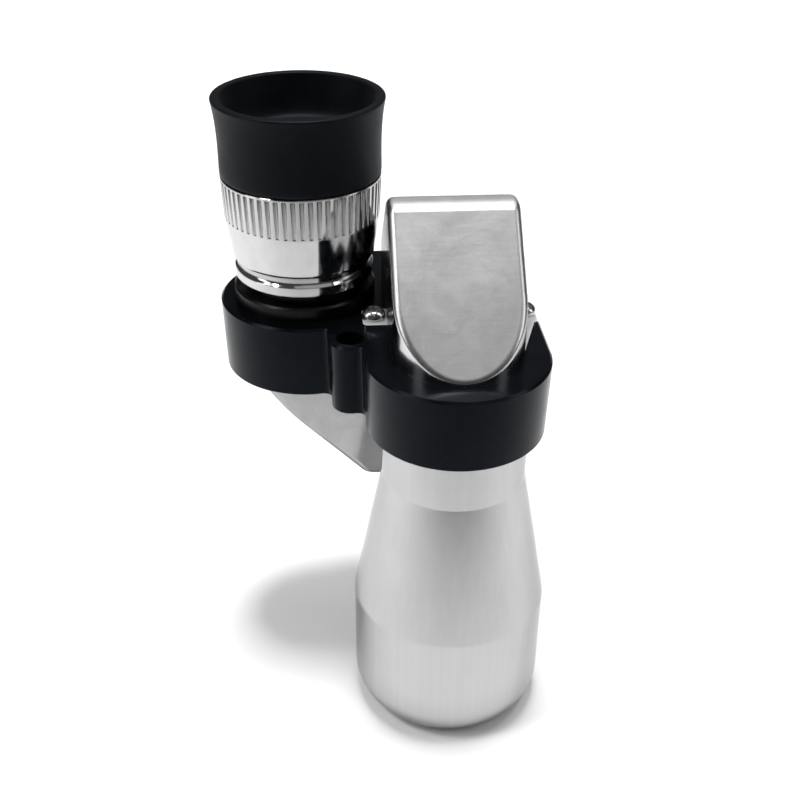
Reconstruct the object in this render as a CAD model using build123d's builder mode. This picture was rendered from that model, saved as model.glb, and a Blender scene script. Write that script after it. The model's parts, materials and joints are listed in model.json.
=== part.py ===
from build123d import *

import math
import os

os.makedirs("parts", exist_ok=True)

# Pocket monocular with a folded light path. Origin: centre of the front rim, on the objective
# axis. +Z runs up the barrel to the eyepiece, +Y to the back, +X to the right. Millimetres.

# ------------------------------------------------------------------ driving dimensions
prism_step = 21.25  # sideways step that each prism gives the light path
plate_top = 62.5  # top face of the frame above the front rim
frame_thick = 11.3  # between the frame's top and bottom faces
frame_draft = 1.6  # casting draft of the frame's side walls, in degrees
lobe_r = 13.4  # round end of the frame about the objective axis
eyepiece_lobe_r = 13.0
corner_r = 12.2  # outer corner of the frame, behind the prisms
back_edge = 36.0  # straight back edge of the frame
inner_blend = 0.9  # radius in the frame's inward corners
edge_bevel = 0.35
turned_bevel = 0.3  # on the ends of the turned parts
boss_at = (-15.0, 5.5)
boss_r = 3.1
strap_hole_r = 2.0
aperture_r = 6.6  # clear holes in the frame for the light

barrel_r = 15.0
neck_r = 10.8
barrel_wall = 2.1
neck_low = plate_top - 19.8  # neck meets the cone
cone_low = plate_top - 42.1  # cone meets the front cylinder
rim_round = 6.0  # rounding of the front of the barrel
rim_flat_r = 11.9  # outer edge of the flat front rim
front_bore_r = 11.4  # open recess in front of the objective lens
front_bore_deep = 2.4
lens_seat_r = 10.6
spigot_r = 9.75  # barrel's upper end, in the frame
spigot_high = 6.0
clear_r = 9.9  # free radius behind the objective lens

cover_half = 9.4  # half width of a prism cover
cover_rise = 10.15  # height of the sloping face above the seat, over an optical axis
cover_high = 19.05
cover_wall = 0.8
cover_round = 1.15
ridge_round = 3.0  # between the ridge and the sloping faces
cover_inset = 1.35  # depth of the recess that holds the bottom cover's edge
recess_gap = 0.15
tab_reach = 12.95
tab_low = -2.5  # tab's ends along the light path, from the cover's middle
tab_high = 2.6
tab_thick = 0.6
tab_round = 0.8
screw_at = 11.25  # cover screws, from the cover's centre line
screw_r = 0.95
screw_hole_r = 1.0
screw_head_r = 1.75
screw_head_high = 1.45
screw_head_round = 1.0
screw_long = 3.6
tapped_deep = 4.0
screw_pad_r = 1.7  # metal of the frame round the tapped hole in its right side

prism_half = 7.9
prism_rise = 8.05
prism_high = 16.6
pocket_half = 8.05
pocket_deep = 0.8
shield_thick = 0.2
shield_hole_r = 6.4
spring_thick = 0.3
spring_wide = 2.2
spring_half_long = 6.0

collar_r = 10.8
collar_high = 2.3
neck_tube_r = 9.1
neck_tube_high = 13.6
neck_bore_r = 7.8
neck_spigot_r = 9.0
run_gap = 0.05  # radial clearance of the running fits
skin = 0.02  # gap between faces that are cemented or clamped together
ring_low = 3.8
ring_high = 19.6
ring_foot_r = 10.5
ring_foot_high = 5.5  # top of the foot's plain rim
ring_groove_low = 6.1
ring_groove_high = 6.9
ring_groove_deep = 0.45
ring_cone_low = 7.5
knurl_r = 11.85
knurl_low = 13.4
knurl_count = 60
knurl_cut_r = 0.36
flange_low = 17.4  # lens tube's flange, held inside the focus ring
flange_high = 18.55
lens_bore_r = 6.6
lens_r = 6.55
cup_low = 19.7
cup_r = 11.9
cup_top_r = 12.5
cup_high = 31.0
cup_lip_r = 11.2  # inner edge of the eyecup's lip
cup_floor = 24.5  # eyecup's inner flange, round the eye lens
cup_flange_low = 23.8

# ------------------------------------------------------------------ places and planes
root2 = math.sqrt(2)
half_step = prism_step / 2
frame_bottom = plate_top - frame_thick
objective = (0, 0)
corner = (0, prism_step)
eyepiece = (-prism_step, prism_step)
objective_axis = Axis((0, 0, 0), (0, 0, 1))
eyepiece_axis = Axis((*eyepiece, 0), (0, 0, 1))

# Half sections: x is the radius; y is the height above the front rim, or above the frame's top.
barrel_section = Plane.XZ
eyepiece_section = Plane(origin=(*eyepiece, plate_top), x_dir=(1, 0, 0), z_dir=(0, -1, 0))

# Prism seats: x runs along the ridge, y along the prism, z away from the frame.
top_seat = Plane(origin=(0, half_step, plate_top), x_dir=(1, 0, 0), z_dir=(0, 0, 1))
bottom_seat = Plane(
    origin=(-half_step, prism_step, frame_bottom + cover_inset), x_dir=(0, 1, 0), z_dir=(0, 0, -1)
)


# ------------------------------------------------------------------ shared shapes
def side_of(seat):
    """Plane through the middle of a seat: x along the prism, y away from the frame."""
    return Plane(origin=seat.origin, x_dir=seat.y_dir, z_dir=seat.x_dir)


def roof_block(seat, half_wide, rise, high, base=0.0):
    """Round-ended block under two 45 degree faces that meet at a flat ridge."""
    foot = half_step + rise
    with BuildPart() as block:
        with BuildSketch(seat.offset(base)):
            SlotCenterToCenter(prism_step, 2 * half_wide, rotation=90)
        extrude(amount=high - base)
        with BuildSketch(side_of(seat)):
            Polygon(
                (-foot + base, base),
                (foot - base, base),
                (foot - high, high),
                (high - foot, high),
                align=None,
            )
        extrude(amount=half_wide, both=True, mode=Mode.INTERSECT)
    return block


def ridge_edges(block, seat):
    """Edges of a roof block that bound its sloping faces and ridge."""
    return [
        edge
        for edge in block.edges()
        if seat.to_local_coords(edge.center()).Z > 0.3 and not edge_is_upright(edge)
    ]


def edge_is_upright(edge):
    """True for a straight edge parallel to Z."""
    box = edge.bounding_box().size
    return box.X < 0.01 and box.Y < 0.01


def edge_crosses(edge, seat):
    """True for a straight edge parallel to the ridge of a roof block."""
    return edge.geom_type == GeomType.LINE and abs((edge % 0.5).dot(seat.x_dir)) > 0.99


def cover_tabs(seat, gap=0.0):
    """Outline of a cover's screw tabs; a web runs from one of them along the round end of the cover."""
    inner = cover_half - 1
    with BuildSketch(seat) as outline:
        for side in (-1, 1):
            with Locations((side * (tab_reach + inner) / 2, (tab_low + tab_high) / 2)):
                RectangleRounded(tab_reach - inner + 2 * gap, tab_high - tab_low + 2 * gap, tab_round)
        Polygon(
            (inner, -half_step - 1),
            (cover_half + gap, -half_step - 1 - gap),
            (tab_reach - 0.2 + gap, tab_low + tab_round - gap),
            (inner, tab_low + tab_round),
            align=None,
        )
    return outline


def cover_shell(seat):
    """Prism cover: a roofed shell with a screw tab at the middle of each long side."""
    outer = roof_block(seat, cover_half, cover_rise, cover_high)
    inner = roof_block(
        seat, cover_half - cover_wall, cover_rise - cover_wall * root2, cover_high - cover_wall, -1.0
    )
    with BuildPart() as shell:
        add(outer.part)
        fillet([edge for edge in ridge_edges(shell.part, seat) if edge_crosses(edge, seat)], ridge_round)
        fillet([edge for edge in ridge_edges(shell.part, seat) if not edge_crosses(edge, seat)], cover_round)
        extrude(cover_tabs(seat).sketch, amount=tab_thick, dir=seat.z_dir)
        add(inner.part, mode=Mode.SUBTRACT)
        with BuildSketch(seat):
            with Locations((-screw_at, 0), (screw_at, 0)):
                Circle(screw_hole_r + 0.1)
        extrude(amount=tab_thick, mode=Mode.SUBTRACT)
    return shell


def prism_glass(seat):
    """Right-angle prism with round ends and a ground-off ridge, standing in the frame's pocket."""
    return roof_block(seat, prism_half, prism_rise, prism_high, shield_thick - pocket_deep)


def light_shield(seat):
    """Thin black plate on the pocket's floor, open only round the two light beams."""
    with BuildPart() as shield:
        with BuildSketch(seat.offset(-pocket_deep)):
            SlotCenterToCenter(prism_step, 2 * prism_half, rotation=90)
            with Locations((0, -half_step), (0, half_step)):
                Circle(shield_hole_r, mode=Mode.SUBTRACT)
        extrude(amount=shield_thick)
    return shield


def leaf_spring(seat):
    """Bowed strip between a prism's ridge and the roof of its cover."""
    low = prism_high + skin
    crown = cover_high - cover_wall - skin
    bow = Plane(origin=seat.origin, x_dir=seat.x_dir, z_dir=-seat.y_dir)
    with BuildPart() as spring:
        with BuildSketch(bow):
            with BuildLine():
                under = ThreePointArc(
                    (-spring_half_long, low), (0, crown - spring_thick), (spring_half_long, low)
                )
                over = ThreePointArc(
                    (-spring_half_long, low + spring_thick),
                    (0, crown),
                    (spring_half_long, low + spring_thick),
                )
                Line(under @ 0, over @ 0)
                Line(under @ 1, over @ 1)
            make_face()
        extrude(amount=spring_wide / 2, both=True)
    return spring


def cover_screws(seat):
    """Two cross-head screws through a cover's tabs into the frame."""
    top = tab_thick + screw_head_high
    with BuildPart() as screws:
        with BuildSketch(seat.offset(tab_thick)):
            with Locations((-screw_at, 0), (screw_at, 0)):
                Circle(screw_head_r)
        extrude(amount=screw_head_high)
        rims = [
            edge for edge in screws.edges() if seat.to_local_coords(edge.center()).Z > top - 0.01
        ]
        fillet([edge for edge in rims if edge.geom_type == GeomType.CIRCLE], screw_head_round)
        with BuildSketch(seat.offset(tab_thick)):
            with Locations((-screw_at, 0), (screw_at, 0)):
                Circle(screw_r)
        extrude(amount=-screw_long)
        with BuildSketch(seat.offset(top)):
            with Locations((-screw_at, 0), (screw_at, 0)):
                Rectangle(2.0, 0.42)
                Rectangle(0.42, 2.0)
        extrude(amount=-0.65, mode=Mode.SUBTRACT)
    return screws


def sag_at(radius, sag, at):
    """How far a spherical lens face falls back at a distance from its axis; sag is its fall at the edge."""
    curve = (radius**2 + sag**2) / (2 * abs(sag))
    return math.copysign(curve - math.sqrt(curve**2 - at**2), sag)


def lens_block(section, axis, radius, low, high, low_sag, high_sag):
    """Lens between two spherical faces; low and high are its apexes, a positive sag is convex."""
    half = radius / 2
    with BuildPart() as glass:
        with BuildSketch(section):
            with BuildLine():
                Line((0, low), (0, high))
                ThreePointArc(
                    (0, high), (half, high - sag_at(radius, high_sag, half)), (radius, high - high_sag)
                )
                Line((radius, high - high_sag), (radius, low + low_sag))
                ThreePointArc(
                    (radius, low + low_sag), (half, low + sag_at(radius, low_sag, half)), (0, low)
                )
            make_face()
        revolve(axis=axis)
    return glass


def turned_ring(section, axis, inner, outer, low, high):
    """Plain ring with a rectangular section."""
    with BuildPart() as ring:
        with BuildSketch(section):
            with Locations(((inner + outer) / 2, (low + high) / 2)):
                Rectangle(outer - inner, high - low)
        revolve(axis=axis)
    return ring


# ------------------------------------------------------------------ frame
with BuildPart() as body_frame:
    with BuildSketch(Plane.XY.offset(plate_top)):
        with Locations(objective):
            Circle(lobe_r)
        with Locations(eyepiece):
            Circle(eyepiece_lobe_r)
        with Locations((0, back_edge - corner_r)):
            Circle(corner_r)
        with Locations(boss_at):
            Circle(boss_r)
        Polygon(
            objective,
            (lobe_r, 0),
            (lobe_r, half_step - 1.4),
            (corner_r, half_step - 0.4),
            (corner_r, back_edge - corner_r),
            (0, back_edge),
            (-half_step - 2, back_edge),
            (-prism_step, prism_step + eyepiece_lobe_r),
            eyepiece,
            (boss_at[0] - boss_r, prism_step - eyepiece_lobe_r + 4),
            (boss_at[0] - boss_r, boss_at[1]),
            boss_at,
            align=None,
        )
        with Locations((screw_at, half_step)):
            Circle(screw_pad_r)
        offset(amount=inner_blend)
        offset(amount=-inner_blend)
    extrude(amount=-frame_thick, taper=frame_draft)
    chamfer(body_frame.edges().group_by(Axis.Z)[-1], edge_bevel)
    chamfer(body_frame.edges().group_by(Axis.Z)[0], edge_bevel / 2)
    # light apertures
    with BuildSketch(Plane.XY.offset(frame_bottom)):
        with Locations(objective, corner, eyepiece):
            Circle(aperture_r)
        with Locations(boss_at):
            Circle(strap_hole_r)
    extrude(amount=frame_thick, mode=Mode.SUBTRACT)
    # recess for the edge of the bottom cover
    with BuildSketch(bottom_seat):
        SlotCenterToCenter(prism_step, 2 * (cover_half + recess_gap), rotation=90)
    extrude(amount=cover_inset, mode=Mode.SUBTRACT)
    extrude(
        cover_tabs(bottom_seat, recess_gap).sketch,
        amount=cover_inset,
        dir=bottom_seat.z_dir,
        mode=Mode.SUBTRACT,
    )
    # prism pockets
    for seat in (top_seat, bottom_seat):
        with BuildSketch(seat):
            SlotCenterToCenter(prism_step, 2 * pocket_half, rotation=90)
        extrude(amount=-pocket_deep, mode=Mode.SUBTRACT)
    # socket of the barrel, and socket of the eyepiece neck
    with BuildSketch(Plane.XY.offset(frame_bottom)):
        with Locations(objective):
            Circle(spigot_r + run_gap)
    extrude(amount=spigot_high + 0.2, mode=Mode.SUBTRACT)
    with BuildSketch(Plane.XY.offset(plate_top)):
        with Locations(eyepiece):
            Circle(neck_spigot_r + run_gap)
    extrude(amount=-spigot_high, mode=Mode.SUBTRACT)
    # tapped holes for the cover screws
    for seat in (top_seat, bottom_seat):
        with BuildSketch(seat):
            with Locations((-screw_at, 0), (screw_at, 0)):
                Circle(screw_hole_r)
        extrude(amount=-tapped_deep, mode=Mode.SUBTRACT)

# ------------------------------------------------------------------ prisms and their covers
with BuildPart() as top_prism_cover:
    add(cover_shell(top_seat).part)

with BuildPart() as bottom_prism_cover:
    add(cover_shell(bottom_seat).part)

with BuildPart() as top_cover_screws:
    add(cover_screws(top_seat).part)

with BuildPart() as bottom_cover_screws:
    add(cover_screws(bottom_seat).part)

with BuildPart() as top_prism:
    add(prism_glass(top_seat).part)

with BuildPart() as bottom_prism:
    add(prism_glass(bottom_seat).part)

with BuildPart() as top_light_shield:
    add(light_shield(top_seat).part)

with BuildPart() as bottom_light_shield:
    add(light_shield(bottom_seat).part)

with BuildPart() as top_prism_spring:
    add(leaf_spring(top_seat).part)

with BuildPart() as bottom_prism_spring:
    add(leaf_spring(bottom_seat).part)

# ------------------------------------------------------------------ objective barrel
seal_in = spigot_r + 0.05  # groove of the seal ring, in the barrel's shoulder
seal_out = neck_r - 0.35
seal_deep = 0.6
baffle_low = neck_low + 1.5
baffle_high = baffle_low + 1.5
lens_shoulder = 9.0
clear_end = 10.5  # the bore widens from here to the full inside of the barrel
wide_bore_low = 13.2
rim_centre_r = barrel_r - rim_round
rim_centre_z = math.sqrt(rim_round**2 - (rim_flat_r - rim_centre_r) ** 2)
rim_turn = math.degrees(math.acos((rim_flat_r - rim_centre_r) / rim_round))

with BuildPart() as objective_barrel:
    with BuildSketch(barrel_section):
        with BuildLine():
            round_over = CenterArc((rim_centre_r, rim_centre_z), rim_round, 0, -rim_turn)
            Polyline(
                round_over @ 1,
                (front_bore_r, 0),
                (front_bore_r, front_bore_deep),
                (lens_seat_r, front_bore_deep),
                (lens_seat_r, lens_shoulder),
                (clear_r, lens_shoulder),
                (clear_r, clear_end),
                (barrel_r - barrel_wall, wide_bore_low),
                (barrel_r - barrel_wall, cone_low),
                (neck_r - barrel_wall, neck_low),
                (neck_r - barrel_wall, frame_bottom + spigot_high),
                (spigot_r - turned_bevel, frame_bottom + spigot_high),
                (spigot_r, frame_bottom + spigot_high - turned_bevel),
                (spigot_r, frame_bottom),
                (neck_r - turned_bevel / 2, frame_bottom),
                (neck_r, frame_bottom - turned_bevel / 2),
                (neck_r, neck_low),
                (barrel_r, cone_low),
                round_over @ 0,
            )
        make_face()
        with Locations(((seal_in + seal_out) / 2, frame_bottom - seal_deep / 2)):
            Rectangle(seal_out - seal_in, seal_deep, mode=Mode.SUBTRACT)
    revolve(axis=objective_axis)

with BuildPart() as barrel_seal_ring:
    seal_low = frame_bottom - seal_deep + run_gap
    add(
        turned_ring(
            barrel_section, objective_axis, seal_in + skin, seal_out - run_gap, seal_low, frame_bottom
        ).part
    )

with BuildPart() as barrel_baffle:
    baffle_r = neck_r - barrel_wall - skin
    add(turned_ring(barrel_section, objective_axis, aperture_r + 0.2, baffle_r, baffle_low, baffle_high).part)

glass_r = lens_seat_r - run_gap
crown_low = 4.2  # apex of the front face
crown_sag = 0.9
joint_z = 7.6  # cemented face, on the axis
joint_sag = 1.1
rear_sag = 0.15
lock_low = 3.2
lock_high = crown_low + sag_at(glass_r, crown_sag, clear_r) - skin
flint_high = lens_shoulder + sag_at(glass_r, rear_sag, clear_r) - skin

with BuildPart() as objective_crown_lens:
    add(lens_block(barrel_section, objective_axis, glass_r, crown_low, joint_z, crown_sag, joint_sag).part)

with BuildPart() as objective_flint_lens:
    add(
        lens_block(
            barrel_section, objective_axis, glass_r, joint_z + skin, flint_high, -joint_sag, rear_sag
        ).part
    )

with BuildPart() as objective_lock_ring:
    with BuildSketch(barrel_section):
        Polygon(
            (clear_r, lock_high),
            (glass_r, lock_high),
            (glass_r, lock_low),
            (clear_r + 0.45, lock_low),
            (clear_r, lock_low + 0.7),
            align=None,
        )
    revolve(axis=objective_axis)
    # spanner slots
    with BuildSketch(Plane.XY.offset(lock_low)):
        Rectangle(2 * lens_seat_r, 0.9)
    extrude(amount=0.6, mode=Mode.SUBTRACT)

# ------------------------------------------------------------------ eyepiece neck, fixed to the frame
groove_low = 7.4
groove_high = 8.6
groove_r = neck_tube_r - 0.6
guide_z = collar_high / 2
guide_r = 0.5
guide_tip_r = neck_bore_r - 0.5  # the screw's tip stands this far from the eyepiece axis


def guide_plane(distance):
    """Plane across the guide screw, at a distance behind the eyepiece axis."""
    behind = (eyepiece[0], eyepiece[1] + distance, plate_top + guide_z)
    return Plane(origin=behind, x_dir=(1, 0, 0), z_dir=(0, 1, 0))


with BuildPart() as eyepiece_neck:
    with BuildSketch(eyepiece_section):
        Polygon(
            (neck_bore_r, -spigot_high),
            (neck_spigot_r, -spigot_high),
            (neck_spigot_r, 0),
            (collar_r, 0),
            (collar_r, collar_high - turned_bevel),
            (collar_r - turned_bevel, collar_high),
            (neck_tube_r, collar_high),
            (neck_tube_r, groove_low),
            (groove_r, groove_low),
            (groove_r, groove_high),
            (neck_tube_r, groove_high),
            (neck_tube_r, neck_tube_high - turned_bevel),
            (neck_tube_r - turned_bevel, neck_tube_high),
            (neck_bore_r, neck_tube_high),
            align=None,
        )
    revolve(axis=eyepiece_axis)
    with BuildSketch(guide_plane(0)):
        Circle(guide_r + skin)
    extrude(amount=collar_r + 1, mode=Mode.SUBTRACT)

with BuildPart() as focus_guide_screw:
    with BuildSketch(guide_plane(guide_tip_r)):
        Circle(guide_r)
    extrude(amount=collar_r - 0.1 - guide_tip_r)
    # driver slot
    with BuildSketch(guide_plane(collar_r)):
        Rectangle(2 * guide_r, 0.2)
    extrude(amount=-0.5, mode=Mode.SUBTRACT)

with BuildPart() as focus_seal_ring:
    add(
        turned_ring(
            eyepiece_section,
            eyepiece_axis,
            groove_r + skin,
            neck_tube_r - skin,
            groove_low + run_gap,
            groove_high - run_gap,
        ).part
    )

# ------------------------------------------------------------------ lens tube, slides in the neck
tube_low = -4.2
tube_high = 24.0
tube_r = neck_bore_r - run_gap
tube_top_r = 7.1
key_half = 0.65
key_deep = 0.75

with BuildPart() as lens_tube:
    with BuildSketch(eyepiece_section):
        Polygon(
            (lens_bore_r - 0.6, tube_low),
            (tube_r - 0.2, tube_low),
            (tube_r, tube_low + 0.2),
            (tube_r, flange_low),
            (neck_tube_r - 0.2, flange_low),
            (neck_tube_r - 0.2, flange_high),
            (tube_top_r, flange_high),
            (tube_top_r, tube_high - 0.2),
            (tube_top_r - 0.2, tube_high),
            (lens_bore_r, tube_high),
            (lens_bore_r, tube_low + 1),
            (lens_bore_r - 0.6, tube_low + 1),
            align=None,
        )
    revolve(axis=eyepiece_axis)
    # key slot that the guide screw's tip runs in
    with BuildSketch(Plane.XY.offset(plate_top - 2.6)):
        with Locations((eyepiece[0], eyepiece[1] + tube_r)):
            Rectangle(2 * key_half, 2 * key_deep)
    extrude(amount=5.8, mode=Mode.SUBTRACT)

with BuildPart() as field_stop:
    add(turned_ring(eyepiece_section, eyepiece_axis, 4.8, lens_r, -3.2, -2.5).part)

with BuildPart() as field_lens_spacer:
    add(turned_ring(eyepiece_section, eyepiece_axis, 5.9, lens_r, -2.5, 0.0).part)

field_high = 3.6
field_sag = 1.9
eye_low = 15.7
eye_low_sag = 1.6
eye_joint_z = 20.0
eye_joint_sag = 1.5
eye_high = 21.9
eye_high_sag = 0.5
eye_lock_high = 22.8
spacer_in = 5.9
spacer_low = field_high - sag_at(lens_r, field_sag, spacer_in) + skin
spacer_high = eye_low + sag_at(lens_r, eye_low_sag, spacer_in) - skin
eye_lock_low = eye_high - sag_at(lens_r, eye_high_sag, spacer_in) + skin

with BuildPart() as field_lens:
    add(lens_block(eyepiece_section, eyepiece_axis, lens_r, skin, field_high, skin, field_sag).part)

with BuildPart() as eye_lens_spacer:
    add(turned_ring(eyepiece_section, eyepiece_axis, spacer_in, lens_r, spacer_low, spacer_high).part)

with BuildPart() as eye_crown_lens:
    add(
        lens_block(
            eyepiece_section, eyepiece_axis, lens_r, eye_low, eye_joint_z, eye_low_sag, eye_joint_sag
        ).part
    )

with BuildPart() as eye_flint_lens:
    add(
        lens_block(
            eyepiece_section,
            eyepiece_axis,
            lens_r,
            eye_joint_z + skin,
            eye_high,
            -eye_joint_sag,
            eye_high_sag,
        ).part
    )

with BuildPart() as eye_lens_lock_ring:
    add(turned_ring(eyepiece_section, eyepiece_axis, spacer_in, lens_r, eye_lock_low, eye_lock_high).part)

# ------------------------------------------------------------------ focus ring and eyecup
ring_bore_r = neck_tube_r + run_gap
shoulder_low = flange_high + 0.1
shoulder_high = 20.2
clip_low = flange_low - 0.5
clip_high = flange_low - 0.1
clip_r = ring_bore_r + 0.3
clip_groove_gap = 0.02
cup_bore_r = knurl_r - 1.0
foot_bevel = 0.35
ring_top = 23.7  # top of the ring's neck, inside the eyecup
ring_upper_bore_r = ring_bore_r + 0.25
cup_floor_r = 9.9
cup_flange_r = 7.6
ring_eye_r = tube_top_r + 0.1

with BuildPart() as focus_ring:
    with BuildSketch(eyepiece_section):
        Polygon(
            (ring_bore_r, ring_low),
            (ring_foot_r - foot_bevel, ring_low),
            (ring_foot_r, ring_low + foot_bevel),
            (ring_foot_r, ring_foot_high),
            (ring_foot_r - foot_bevel, ring_foot_high + foot_bevel),
            (ring_foot_r - ring_groove_deep, ring_groove_low),
            (ring_foot_r - ring_groove_deep, ring_groove_high),
            (ring_foot_r + 0.05, ring_groove_high + 0.2),
            (ring_foot_r + 0.25, ring_cone_low),
            (knurl_r - 0.25, knurl_low),
            (knurl_r, ring_high - 0.1),
            (knurl_r - 0.1, ring_high),
            (cup_bore_r, ring_high),
            (cup_bore_r, ring_top - turned_bevel),
            (cup_bore_r - turned_bevel, ring_top),
            (ring_upper_bore_r, ring_top),
            (ring_upper_bore_r, shoulder_high),
            (ring_eye_r, shoulder_high),
            (ring_eye_r, shoulder_low),
            (ring_bore_r, shoulder_low),
            (ring_bore_r, clip_high + clip_groove_gap),
            (clip_r + clip_groove_gap, clip_high + clip_groove_gap),
            (clip_r + clip_groove_gap, clip_low - clip_groove_gap),
            (ring_bore_r, clip_low - clip_groove_gap),
            align=None,
        )
    revolve(axis=eyepiece_axis)
    with Locations((*eyepiece, plate_top + (knurl_low + ring_high) / 2 - 0.1)):
        with PolarLocations(knurl_r, knurl_count):
            Cylinder(knurl_cut_r, ring_high - knurl_low - 0.5, mode=Mode.SUBTRACT)

with BuildPart() as focus_ring_clip:
    add(turned_ring(eyepiece_section, eyepiece_axis, tube_r + 0.15, clip_r, clip_low, clip_high).part)
    with BuildSketch(Plane.XY.offset(plate_top + clip_low)):
        with Locations((eyepiece[0] + 8.6, eyepiece[1])):
            Rectangle(3, 2.4)
    extrude(amount=clip_high - clip_low, mode=Mode.SUBTRACT)

with BuildPart() as rubber_eyecup:
    with BuildSketch(eyepiece_section):
        with BuildLine():
            flare = ThreePointArc(
                (cup_r - 0.05, 24.0), (cup_r + 0.08, 27.6), (cup_top_r, cup_high - 0.3)
            )
            lip_out = ThreePointArc(
                flare @ 1, (cup_top_r - 0.1, cup_high - 0.09), (cup_top_r - 0.32, cup_high)
            )
            lip_in = ThreePointArc(
                (cup_lip_r + 0.3, cup_high), (cup_lip_r + 0.08, cup_high - 0.1), (cup_lip_r, cup_high - 0.35)
            )
            Line(lip_out @ 1, lip_in @ 0)
            Polyline(
                lip_in @ 1,
                (cup_floor_r + 0.5, cup_floor + 0.6),
                (cup_floor_r, cup_floor),
                (cup_flange_r, cup_floor),
                (cup_flange_r, cup_flange_low),
                (cup_bore_r + run_gap, cup_flange_low),
                (cup_bore_r + run_gap, cup_low),
                (cup_r - 0.25, cup_low),
                (cup_r, cup_low + 0.25),
                flare @ 0,
            )
        make_face()
    revolve(axis=eyepiece_axis)

# ------------------------------------------------------------------ write one file per piece
pieces = {
    "body_frame": body_frame,
    "top_prism_cover": top_prism_cover,
    "bottom_prism_cover": bottom_prism_cover,
    "top_cover_screws": top_cover_screws,
    "bottom_cover_screws": bottom_cover_screws,
    "top_prism": top_prism,
    "bottom_prism": bottom_prism,
    "top_light_shield": top_light_shield,
    "bottom_light_shield": bottom_light_shield,
    "top_prism_spring": top_prism_spring,
    "bottom_prism_spring": bottom_prism_spring,
    "objective_barrel": objective_barrel,
    "barrel_seal_ring": barrel_seal_ring,
    "barrel_baffle": barrel_baffle,
    "objective_crown_lens": objective_crown_lens,
    "objective_flint_lens": objective_flint_lens,
    "objective_lock_ring": objective_lock_ring,
    "eyepiece_neck": eyepiece_neck,
    "focus_guide_screw": focus_guide_screw,
    "focus_seal_ring": focus_seal_ring,
    "lens_tube": lens_tube,
    "field_stop": field_stop,
    "field_lens_spacer": field_lens_spacer,
    "field_lens": field_lens,
    "eye_lens_spacer": eye_lens_spacer,
    "eye_crown_lens": eye_crown_lens,
    "eye_flint_lens": eye_flint_lens,
    "eye_lens_lock_ring": eye_lens_lock_ring,
    "focus_ring": focus_ring,
    "focus_ring_clip": focus_ring_clip,
    "rubber_eyecup": rubber_eyecup,
}
for name, piece in pieces.items():
    piece.part.label = name
    export_step(piece.part, f"parts/{name}.step")
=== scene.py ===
import json
import math

import bmesh
import bpy
from mathutils import Matrix, Vector


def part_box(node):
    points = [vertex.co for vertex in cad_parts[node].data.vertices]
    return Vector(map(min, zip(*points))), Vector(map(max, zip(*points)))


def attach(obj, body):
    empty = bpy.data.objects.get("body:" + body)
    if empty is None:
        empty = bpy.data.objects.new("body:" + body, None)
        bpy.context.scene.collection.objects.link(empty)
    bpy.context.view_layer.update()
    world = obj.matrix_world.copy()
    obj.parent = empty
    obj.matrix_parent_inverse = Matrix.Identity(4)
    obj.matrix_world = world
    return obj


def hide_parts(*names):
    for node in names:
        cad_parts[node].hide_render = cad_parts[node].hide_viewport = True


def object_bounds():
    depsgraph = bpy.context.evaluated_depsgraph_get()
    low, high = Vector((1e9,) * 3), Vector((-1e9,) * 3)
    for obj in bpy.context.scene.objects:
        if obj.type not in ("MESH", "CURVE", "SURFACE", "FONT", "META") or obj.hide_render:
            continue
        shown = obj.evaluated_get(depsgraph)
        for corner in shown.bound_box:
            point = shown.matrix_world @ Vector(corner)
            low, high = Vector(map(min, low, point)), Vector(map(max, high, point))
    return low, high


MM = 0.001
MICRON = 0.000001

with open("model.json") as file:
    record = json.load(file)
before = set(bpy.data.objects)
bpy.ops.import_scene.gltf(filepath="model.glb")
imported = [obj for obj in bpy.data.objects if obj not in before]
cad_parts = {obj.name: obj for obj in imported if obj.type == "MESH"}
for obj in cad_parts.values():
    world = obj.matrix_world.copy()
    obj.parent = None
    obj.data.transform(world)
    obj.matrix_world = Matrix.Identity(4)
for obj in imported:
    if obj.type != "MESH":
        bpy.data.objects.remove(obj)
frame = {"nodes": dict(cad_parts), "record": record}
cad_low, cad_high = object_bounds()

# ------------------------------------------------------------------ places, from the CAD model
plate_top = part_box("body_frame")[1].z
middle = (cad_low + cad_high) / 2

# ------------------------------------------------------------------ camera
CAMERA_LENS = 51.0
CAMERA_SENSOR = 36
CAMERA_NEAR = 0.01
CAMERA_FAR = 20
CAMERA_PITCH = math.radians(31.8)  # down from level
CAMERA_TURN = math.radians(5.03)  # to the right of +Y
CAMERA_ROLL = math.radians(0.61)
CAMERA_AT = Vector((-0.02033, -0.13851, plate_top + 0.07881))

camera_data = bpy.data.cameras.new("camera")
camera_data.lens = CAMERA_LENS
camera_data.sensor_width = CAMERA_SENSOR
camera_data.clip_start = CAMERA_NEAR
camera_data.clip_end = CAMERA_FAR
camera = bpy.data.objects.new("camera", camera_data)
bpy.context.scene.collection.objects.link(camera)
ahead = Vector(
    (
        math.sin(CAMERA_TURN) * math.cos(CAMERA_PITCH),
        math.cos(CAMERA_TURN) * math.cos(CAMERA_PITCH),
        -math.sin(CAMERA_PITCH),
    )
)
level_right = Vector((math.cos(CAMERA_TURN), -math.sin(CAMERA_TURN), 0))
level_up = level_right.cross(ahead)
right = math.cos(CAMERA_ROLL) * level_right + math.sin(CAMERA_ROLL) * level_up
up = right.cross(ahead)
camera.matrix_world = Matrix(
    (
        (right.x, up.x, -ahead.x, CAMERA_AT.x),
        (right.y, up.y, -ahead.y, CAMERA_AT.y),
        (right.z, up.z, -ahead.z, CAMERA_AT.z),
        (0, 0, 0, 1),
    )
)
bpy.context.scene.camera = camera


# ------------------------------------------------------------------ node helpers
SINGLE_NOISE = (0.3, 0.7)  # the range that holds nearly all values of one noise
SUMMED_NOISE = (0.36, 0.64)  # and of a weighted sum of noises
SHADER_SAMPLES = 4  # of each bevel and ambient occlusion node


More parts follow.
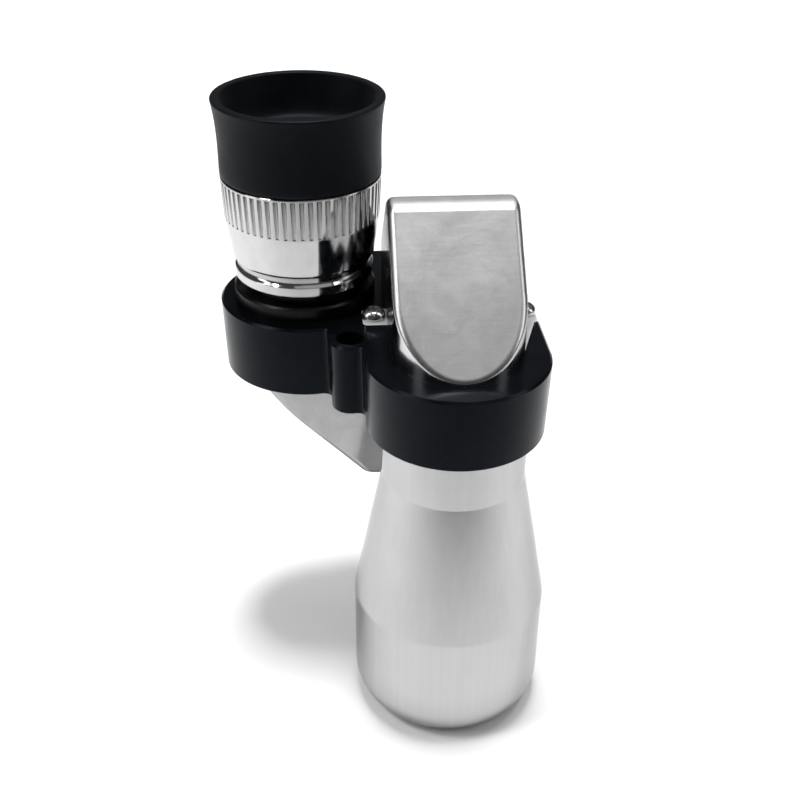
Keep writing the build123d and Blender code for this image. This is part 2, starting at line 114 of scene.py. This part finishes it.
def even(scale):
    """The same number of noise cells per metre along X, Y and Z."""
    return (scale, scale, scale)


def grey(value):
    return (value, value, value)


class Paint:
    """Builds one node material."""

    def __init__(self, name, **sockets):
        self.material = bpy.data.materials.new(name + "_look")
        self.material.use_nodes = True
        self.tree = self.material.node_tree
        self.tree.nodes.clear()
        self.out = self.tree.nodes.new("ShaderNodeOutputMaterial")
        self.shader = self.tree.nodes.new("ShaderNodeBsdfPrincipled")
        self.link(self.shader.outputs[0], self.out.inputs["Surface"])
        for key, value in sockets.items():
            self.shader.inputs[key.replace("_", " ")].default_value = value
        self.bumped = None

    def link(self, source, target):
        self.tree.links.new(source, target)

    def node(self, kind, **values):
        made = self.tree.nodes.new("ShaderNode" + kind)
        for key, value in values.items():
            setattr(made, key, value)
        return made

    def place(self, scale):
        """Object coordinates in metres, stretched."""
        coords = self.node("TexCoord")
        mapping = self.node("Mapping")
        mapping.inputs["Scale"].default_value = scale
        self.link(coords.outputs["Object"], mapping.inputs["Vector"])
        return mapping.outputs[0]

    def noise(self, scale, detail=3.0, roughness=0.55, distortion=0.0):
        """Noise with that many cells per metre along X, Y and Z."""
        made = self.node("TexNoise")
        made.inputs["Scale"].default_value = 1.0
        made.inputs["Detail"].default_value = detail
        made.inputs["Roughness"].default_value = roughness
        made.inputs["Distortion"].default_value = distortion
        self.link(self.place(scale), made.inputs["Vector"])
        return made.outputs[0]

    def spread(self, value, low, high, start=SINGLE_NOISE[0], stop=SINGLE_NOISE[1]):
        """Maps start..stop to low..high."""
        made = self.node("MapRange")
        made.inputs["From Min"].default_value = start
        made.inputs["From Max"].default_value = stop
        made.inputs["To Min"].default_value = low
        made.inputs["To Max"].default_value = high
        self.link(value, made.inputs["Value"])
        return made.outputs[0]

    def math(self, operation, first, second):
        made = self.node("Math", operation=operation)
        for socket, value in zip(made.inputs, (first, second)):
            if isinstance(value, (int, float)):
                socket.default_value = value
            else:
                self.link(value, socket)
        return made.outputs[0]

    def blend(self, *parts):
        """Sum of (output, weight) pairs."""
        shares = [self.math("MULTIPLY", output, weight) for output, weight in parts]
        total = shares[0]
        for share in shares[1:]:
            total = self.math("ADD", total, share)
        return total

    def mix(self, factor, first, second):
        """Colour mix; the colours are RGB tuples or outputs."""
        made = self.node("Mix", data_type="RGBA")
        self.link(factor, made.inputs[0])
        for socket, value in zip((made.inputs[6], made.inputs[7]), (first, second)):
            if isinstance(value, tuple):
                socket.default_value = (*value, 1)
            else:
                self.link(value, socket)
        return made.outputs[2]

    def drive(self, socket, value):
        self.link(value, self.shader.inputs[socket])

    def colour(self, tone, dark, light):
        """Base colour that runs from dark to light with one noise."""
        self.drive("Base Color", self.mix(self.spread(tone, 0, 1), dark, light))

    def axis_part(self, vector, axis):
        split = self.node("SeparateXYZ")
        self.link(vector, split.inputs[0])
        return split.outputs[axis]

    def bump(self, height, depth, strength):
        """Adds a bump of that depth in metres on top of any other."""
        made = self.node("Bump")
        made.inputs["Strength"].default_value = strength
        made.inputs["Distance"].default_value = depth
        self.link(height, made.inputs["Height"])
        if self.bumped:
            self.link(self.bumped, made.inputs["Normal"])
        self.bumped = made.outputs[0]
        self.link(self.bumped, self.shader.inputs["Normal"])

    def bevel(self, radius):
        """Normal that is rounded near edges."""
        made = self.node("Bevel", samples=SHADER_SAMPLES)
        made.inputs["Radius"].default_value = radius
        return made.outputs[0]

    def soften(self, radius):
        """Rounds the shading of edges; called before any bump."""
        self.bumped = self.bevel(radius)

    def grain_along_axis(self):
        """Anisotropic grain along the vertical axis."""
        made = self.node("Tangent", direction_type="RADIAL", axis="Z")
        self.link(made.outputs[0], self.shader.inputs["Tangent"])
        self.shader.inputs["Anisotropic Rotation"].default_value = 0.25

    def open_space(self, distance):
        """0 deep in a groove or hollow of that size, and 1 on open faces."""
        made = self.node("AmbientOcclusion", samples=SHADER_SAMPLES)
        made.inputs["Distance"].default_value = distance
        return made.outputs["AO"]

    def worn_edges(self, radius):
        """1 on edges and 0 on flat faces."""
        geometry = self.node("NewGeometry")
        dot = self.node("VectorMath", operation="DOT_PRODUCT")
        self.link(self.bevel(radius), dot.inputs[0])
        self.link(geometry.outputs["Normal"], dot.inputs[1])
        return self.spread(dot.outputs["Value"], 1, 0, 0.9, 0.995)


# ------------------------------------------------------------------ materials
def black_gloss_paint():
    p = Paint("black_gloss_paint", Specular_IOR_Level=0.1, Specular_Tint=(0.66, 0.8, 1.0, 1))
    p.colour(p.noise(even(180), detail=4), (0.0015, 0.0018, 0.0026), (0.0036, 0.0042, 0.0058))
    cloud = p.noise(even(260), detail=5, roughness=0.6)
    p.drive("Roughness", p.spread(cloud, 0.16, 0.27))
    p.bump(p.noise(even(900), detail=2), 20 * MICRON, 0.3)
    return p.material


def cover_aluminium():
    p = Paint("cover_aluminium", Metallic=1.0, Specular_Tint=(*grey(0.5), 1))
    grain = p.noise((2600, 5200, 5200), detail=3, roughness=0.6)
    scratches = p.noise((260, 2600, 2600), detail=3, roughness=0.5, distortion=0.8)
    cloud = p.noise(even(150), detail=6, roughness=0.68, distortion=0.8)
    tone = p.blend((grain, 0.2), (scratches, 0.2), (cloud, 0.6))
    edge = p.worn_edges(0.7 * MM)

    # painted shade: the cover under the frame gets a darker tone that stands in for the shade it sits
    # in;
    # the change of tone falls within the frame's thickness, where no cover is
    height = p.axis_part(p.place(even(1)), "Z")
    shade_below_frame = p.spread(height, 1, 0, plate_top - 8 * MM, plate_top - 4 * MM)
    unshaded_tone = p.mix(p.spread(tone, 0, 1, *SUMMED_NOISE), (0.455, 0.455, 0.459), (0.575, 0.575, 0.58))
    # painted shade: the darker tone of the cover below the frame
    painted_shade_tone = p.mix(p.spread(cloud, 0, 1), (0.3, 0.3, 0.303), (0.38, 0.38, 0.383))
    p.drive("Base Color", p.mix(edge, p.mix(shade_below_frame, unshaded_tone, painted_shade_tone), grey(0.66)))

    # the walls are polished; the sloping faces are rubbed, and the roundings most of all
    geometry = p.node("NewGeometry")
    tilt = p.math("ABSOLUTE", p.axis_part(geometry.outputs["Normal"], "Z"), 0.0)
    sloping = p.spread(tilt, 0, 1, 0.15, 0.5)
    ridge = p.spread(tilt, 0, 1, 0.73, 0.85)
    polished = p.spread(tone, 0.12, 0.17, *SUMMED_NOISE)
    p.drive("Roughness", p.math("ADD", polished, p.blend((sloping, 0.16), (ridge, 0.3), (edge, 0.12))))
    p.bump(grain, 3 * MICRON, 0.4)
    p.bump(p.noise(even(900), detail=4), 8 * MICRON, 0.3)
    return p.material


def barrel_aluminium():
    p = Paint("barrel_aluminium", Metallic=1.0, Anisotropic=0.7, Specular_Tint=(*grey(0.75), 1))
    turned = p.noise((40, 40, 14000), detail=3, roughness=0.6)
    streak = p.noise((1100, 1100, 12), detail=3, roughness=0.55)
    cloud = p.noise((110, 110, 60), detail=4)
    tone = p.spread(p.blend((turned, 0.3), (streak, 0.3), (cloud, 0.4)), 0, 1, *SUMMED_NOISE)
    p.drive("Base Color", p.mix(tone, (0.415, 0.415, 0.42), (0.48, 0.48, 0.485)))
    p.drive("Roughness", p.spread(cloud, 0.13, 0.18))
    p.bump(turned, 2 * MICRON, 0.5)
    p.bump(streak, 2 * MICRON, 0.3)
    p.grain_along_axis()
    return p.material


def mirror_chrome():
    p = Paint("mirror_chrome", Metallic=1.0)
    haze = p.noise(even(420), detail=4)
    unshaded_tone = p.mix(p.spread(haze, 0, 1), (0.46, 0.46, 0.463), (0.52, 0.52, 0.523))
    # painted shade: the knurl's grooves and other recesses are darkened by ambient occlusion, standing
    # in for the shade that falls in them
    open_face = p.spread(p.open_space(1 * MM), 0, 1, 0.45, 0.92)
    # painted shade: the dark colour in the grooves
    p.drive("Base Color", p.mix(open_face, (0.07, 0.07, 0.069), unshaded_tone))
    p.drive("Roughness", p.spread(haze, 0.06, 0.12, 0.35, 0.75))
    p.soften(0.25 * MM)
    p.bump(p.noise((120, 120, 700), detail=2), 10 * MICRON, 0.3)
    return p.material


def plated_screw():
    p = Paint("plated_screw", Metallic=1.0)
    haze = p.noise(even(900), detail=4)
    p.colour(haze, grey(0.42), grey(0.64))
    p.drive("Roughness", p.spread(haze, 0.14, 0.3))
    p.bump(p.noise(even(2500), detail=3), 10 * MICRON, 0.4)
    return p.material


def eyecup_rubber():
    p = Paint(
        "eyecup_rubber",
        Specular_IOR_Level=0.12,
        Specular_Tint=(0.7, 0.83, 1.0, 1),
        Sheen_Weight=0.02,
        Sheen_Roughness=0.5,
    )
    tone = p.noise(even(240), detail=4)
    p.colour(tone, (0.0022, 0.0024, 0.003), (0.0046, 0.0048, 0.006))
    # the inside of the cup, which no finger rubs, is the dullest
    dull = p.spread(p.open_space(8 * MM), 0.35, 0, 0.3, 0.8)
    p.drive("Roughness", p.math("ADD", p.spread(tone, 0.45, 0.55), dull))
    p.bump(p.noise(even(3600), detail=3), 10 * MICRON, 0.4)
    p.bump(p.noise((150, 150, 60), detail=2), 40 * MICRON, 0.25)
    return p.material


def seal_rubber():
    p = Paint("seal_rubber", Specular_IOR_Level=0.2)
    tone = p.noise(even(900), detail=3)
    p.colour(tone, grey(0.006), grey(0.012))
    p.drive("Roughness", p.spread(tone, 0.55, 0.75))
    p.bump(tone, 20 * MICRON, 0.4)
    return p.material


def collar_black():
    p = Paint("collar_black", Specular_IOR_Level=0.14)
    turned = p.noise((80, 80, 5200), detail=3)
    p.colour(turned, (0.002, 0.002, 0.0023), (0.0042, 0.0042, 0.0048))
    p.drive("Roughness", p.spread(turned, 0.24, 0.36))
    p.bump(turned, 6 * MICRON, 0.5)
    return p.material


def black_anodised():
    p = Paint("black_anodised", Specular_IOR_Level=0.2)
    turned = p.noise((90, 90, 6500), detail=3)
    p.colour(turned, (0.003, 0.003, 0.0035), (0.007, 0.007, 0.008))
    p.drive("Roughness", p.spread(turned, 0.45, 0.65))
    p.bump(turned, 10 * MICRON, 0.6)
    return p.material


def spring_steel():
    p = Paint("spring_steel", Metallic=1.0)
    grain = p.noise((6000, 400, 6000), detail=3)
    p.colour(grain, (0.42, 0.41, 0.39), (0.6, 0.59, 0.56))
    p.drive("Roughness", p.spread(grain, 0.22, 0.38))
    p.bump(grain, 10 * MICRON, 0.5)
    return p.material


def glass(name, dark, light, coat):
    p = Paint(
        name,
        IOR=1.52,
        Transmission_Weight=1.0,
        Coat_Weight=coat,
        Coat_IOR=1.5,
        Coat_Tint=(0.62, 0.42, 1.0, 1),
    )
    dust = p.noise(even(500), detail=5, roughness=0.65)
    p.colour(dust, dark, light)
    p.drive("Roughness", p.spread(dust, 0, 0.03, 0.45, 0.8))
    p.bump(dust, 2 * MICRON, 0.1)
    return p.material


slot_of = {row["node"]: row["material_slot"] for row in frame["record"]["subparts"]}
paints = {
    made.name.removesuffix("_look"): made
    for made in (
        black_gloss_paint(),
        cover_aluminium(),
        barrel_aluminium(),
        mirror_chrome(),
        plated_screw(),
        eyecup_rubber(),
        seal_rubber(),
        collar_black(),
        black_anodised(),
        spring_steel(),
        glass("coated_lens", (0.86, 0.9, 0.95), (0.93, 0.95, 0.98), coat=1.0),
        glass("prism_glass", (0.88, 0.94, 0.92), (0.94, 0.97, 0.96), coat=0.0),
    )
}
for name, part in frame["nodes"].items():
    for holder in part.material_slots:
        holder.material = paints[slot_of[name]]


# ------------------------------------------------------------------ moulded rubber eyecup
CUP_SEGMENTS = 96
CUP_SUBDIVISIONS = 2
LIP_WIDE = 1.3 * MM  # flat of the lip
LIP_ROUND = 0.2 * MM  # rounding of the lip and of the other rims
SKIRT_GAP = 0.05 * MM  # between the rubber and the ring inside it
SEAT_DEEP = 1.0 * MM  # step in the ring's side for the skirt
MOUTH_STEPS = (0.4 * MM, 0.8 * MM, 1.3 * MM)  # how the hollow narrows, down to the flange
FLANGE_BORE = 7.6 * MM  # radius, round the eye lens
FLANGE_THICK = 0.7 * MM
FLANGE_HIGH = 4.8 * MM  # top of the flange above the cup's lower edge


def cup_outline():
    """Radius and height of the cage round the cup's section, from the lower edge outward."""
    low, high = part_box("rubber_eyecup")
    ring_low, ring_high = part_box("focus_ring")
    tall = high.z - low.z
    top_r = (high.x - low.x) / 2
    lip_r = top_r - LIP_WIDE
    grip_r = (ring_high.x - ring_low.x) / 2
    body_r = grip_r + SKIRT_GAP
    skirt_r = body_r - SEAT_DEEP
    flare = top_r - body_r
    flange_low = FLANGE_HIGH - FLANGE_THICK
    outside = [
        (body_r - LIP_ROUND, 0),
        (body_r, LIP_ROUND),
        (body_r, 0.1 * tall),
        (grip_r, 0.4 * tall),
        (body_r + 0.2 * flare, 0.7 * tall),
        (body_r + 0.7 * flare, 0.9 * tall),
        (top_r, tall - 2 * LIP_ROUND),
        (top_r, tall - LIP_ROUND),
        (top_r - LIP_ROUND, tall),
    ]
    inside = [
        (lip_r + LIP_ROUND, tall),
        (lip_r, tall - LIP_ROUND),
        (lip_r, tall - 2 * LIP_ROUND),
        (lip_r - MOUTH_STEPS[0], 0.75 * tall),
        (lip_r - MOUTH_STEPS[1], FLANGE_HIGH + 1 * MM),
        (lip_r - MOUTH_STEPS[2], FLANGE_HIGH),
        (FLANGE_BORE + LIP_ROUND, FLANGE_HIGH),
        (FLANGE_BORE, FLANGE_HIGH - LIP_ROUND),
        (FLANGE_BORE, flange_low + LIP_ROUND),
        (FLANGE_BORE + LIP_ROUND, flange_low),
        (skirt_r, flange_low),
        (skirt_r, flange_low - FLANGE_THICK),
        (skirt_r, LIP_ROUND),
        (skirt_r + LIP_ROUND, 0),
    ]
    return outside + inside


def moulded_cup():
    """The eyecup as one smooth lathed skin in the place of its CAD solid."""
    low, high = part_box("rubber_eyecup")
    centre = (low + high) / 2
    outline = cup_outline()
    mesh = bmesh.new()
    rings = []
    for step in range(CUP_SEGMENTS):
        turn = math.tau * step / CUP_SEGMENTS
        across, back = math.cos(turn), math.sin(turn)
        rings.append(
            [mesh.verts.new((centre.x + r * across, centre.y + r * back, low.z + z)) for r, z in outline]
        )
    for here, there in zip(rings, rings[1:] + rings[:1]):
        for k in range(len(outline)):
            after = (k + 1) % len(outline)
            mesh.faces.new((here[k], there[k], there[after], here[after]))
    bmesh.ops.recalc_face_normals(mesh, faces=mesh.faces)
    data = bpy.data.meshes.new("moulded_eyecup")
    mesh.to_mesh(data)
    mesh.free()
    data.polygons.foreach_set("use_smooth", [True] * len(data.polygons))
    data.materials.append(paints["eyecup_rubber"])
    cup = bpy.data.objects.new("moulded_eyecup", data)
    bpy.context.scene.collection.objects.link(cup)
    smooth = cup.modifiers.new("smooth", "SUBSURF")
    smooth.levels = CUP_SUBDIVISIONS
    smooth.render_levels = CUP_SUBDIVISIONS
    return cup


eyecup = moulded_cup()
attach(eyecup, "focus_grip")
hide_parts("rubber_eyecup")


# ------------------------------------------------------------------ floor and world
FLOOR_REACH = 3.0
WORLD_STRENGTH = 0.09


def floor_paint():
    p = Paint("floor_paint", Roughness=0.9, Specular_IOR_Level=0.1)
    p.colour(p.noise(even(14), detail=3), grey(0.93), grey(0.95))
    return p.material


corners = [(x * FLOOR_REACH, y * FLOOR_REACH, 0) for x, y in ((-1, -1), (1, -1), (1, 1), (-1, 1))]
floor_mesh = bpy.data.meshes.new("floor")
floor_mesh.from_pydata(corners, [], [(0, 1, 2, 3)])
floor_mesh.materials.append(floor_paint())
floor = bpy.data.objects.new("floor", floor_mesh)
bpy.context.scene.collection.objects.link(floor)

world = bpy.data.worlds.new("studio")
bpy.context.scene.world = world
world.use_nodes = True
background = world.node_tree.nodes["Background"]
background.inputs["Color"].default_value = (*grey(1), 1)
background.inputs["Strength"].default_value = WORLD_STRENGTH

# ------------------------------------------------------------------ light
POOL_SOFTNESS = 0.12  # radius of each spot lamp

# name, place, middle of the pool, watts, cone in degrees, share of the cone that fades
FLOOR_POOLS = (
    ("near_pool", (0, 0.1, 1.2), (0, 0.235, 0), 50, 34, 0.15),
    ("far_pool", (0, 0.5, 1.2), (0, 0.68, 0), 44, 42, 0.4),
    ("left_pool", (-0.5, -0.1, 0.7), (-0.24, -0.02, 0), 16, 33, 0.15),
    ("right_pool", (0.4, 0, 0.9), (0.28, -0.03, 0), 16, 30, 0.15),
)

# name, place, width, height, watts, spread in degrees
SOFTBOXES = (
    ("front_sky", (0.12, -0.32, 0.6), 0.5, 0.4, 0.28, 180),
    ("back_sky", (0.2, 0.6, 0.42), 0.5, 0.3, 0.04, 180),
    ("high_right", (0.3, 0.12, 0.75), 0.2, 0.2, 0.3, 180),
    ("key_right", (0.45, -0.1, 0.3), 0.15, 0.4, 0.2, 120),
    ("fill_left", (-0.45, -0.1, 0.3), 0.15, 0.4, 0.25, 120),
)


def aimed(name, data, place, target):
    """Puts a light in the scene and points it at the target."""
    lamp = bpy.data.objects.new(name, data)
    bpy.context.scene.collection.objects.link(lamp)
    away = Vector(place) - Vector(target)
    turned = away.to_track_quat("Z", "Y").to_matrix().to_4x4()
    lamp.matrix_world = Matrix.Translation(place) @ turned


def floor_pool(name, place, target, power, angle, fade):
    """Soft round pool of light on the floor, which the metal parts mirror."""
    data = bpy.data.lights.new(name, "SPOT")
    data.energy = power
    data.spot_size = math.radians(angle)
    data.spot_blend = fade
    data.shadow_soft_size = POOL_SOFTNESS
    aimed(name, data, place, target)


def softbox(name, place, wide, high, power, spread):
    """Area light that faces the middle of the object."""
    data = bpy.data.lights.new(name, "AREA")
    data.shape = "RECTANGLE"
    data.size = wide
    data.size_y = high
    data.energy = power
    data.spread = math.radians(spread)
    aimed(name, data, place, middle)


for row in FLOOR_POOLS:
    floor_pool(*row)
for row in SOFTBOXES:
    softbox(*row)

bpy.context.scene.view_settings.view_transform = "Standard"

# ------------------------------------------------------------------ the end
bpy.context.view_layer.update()
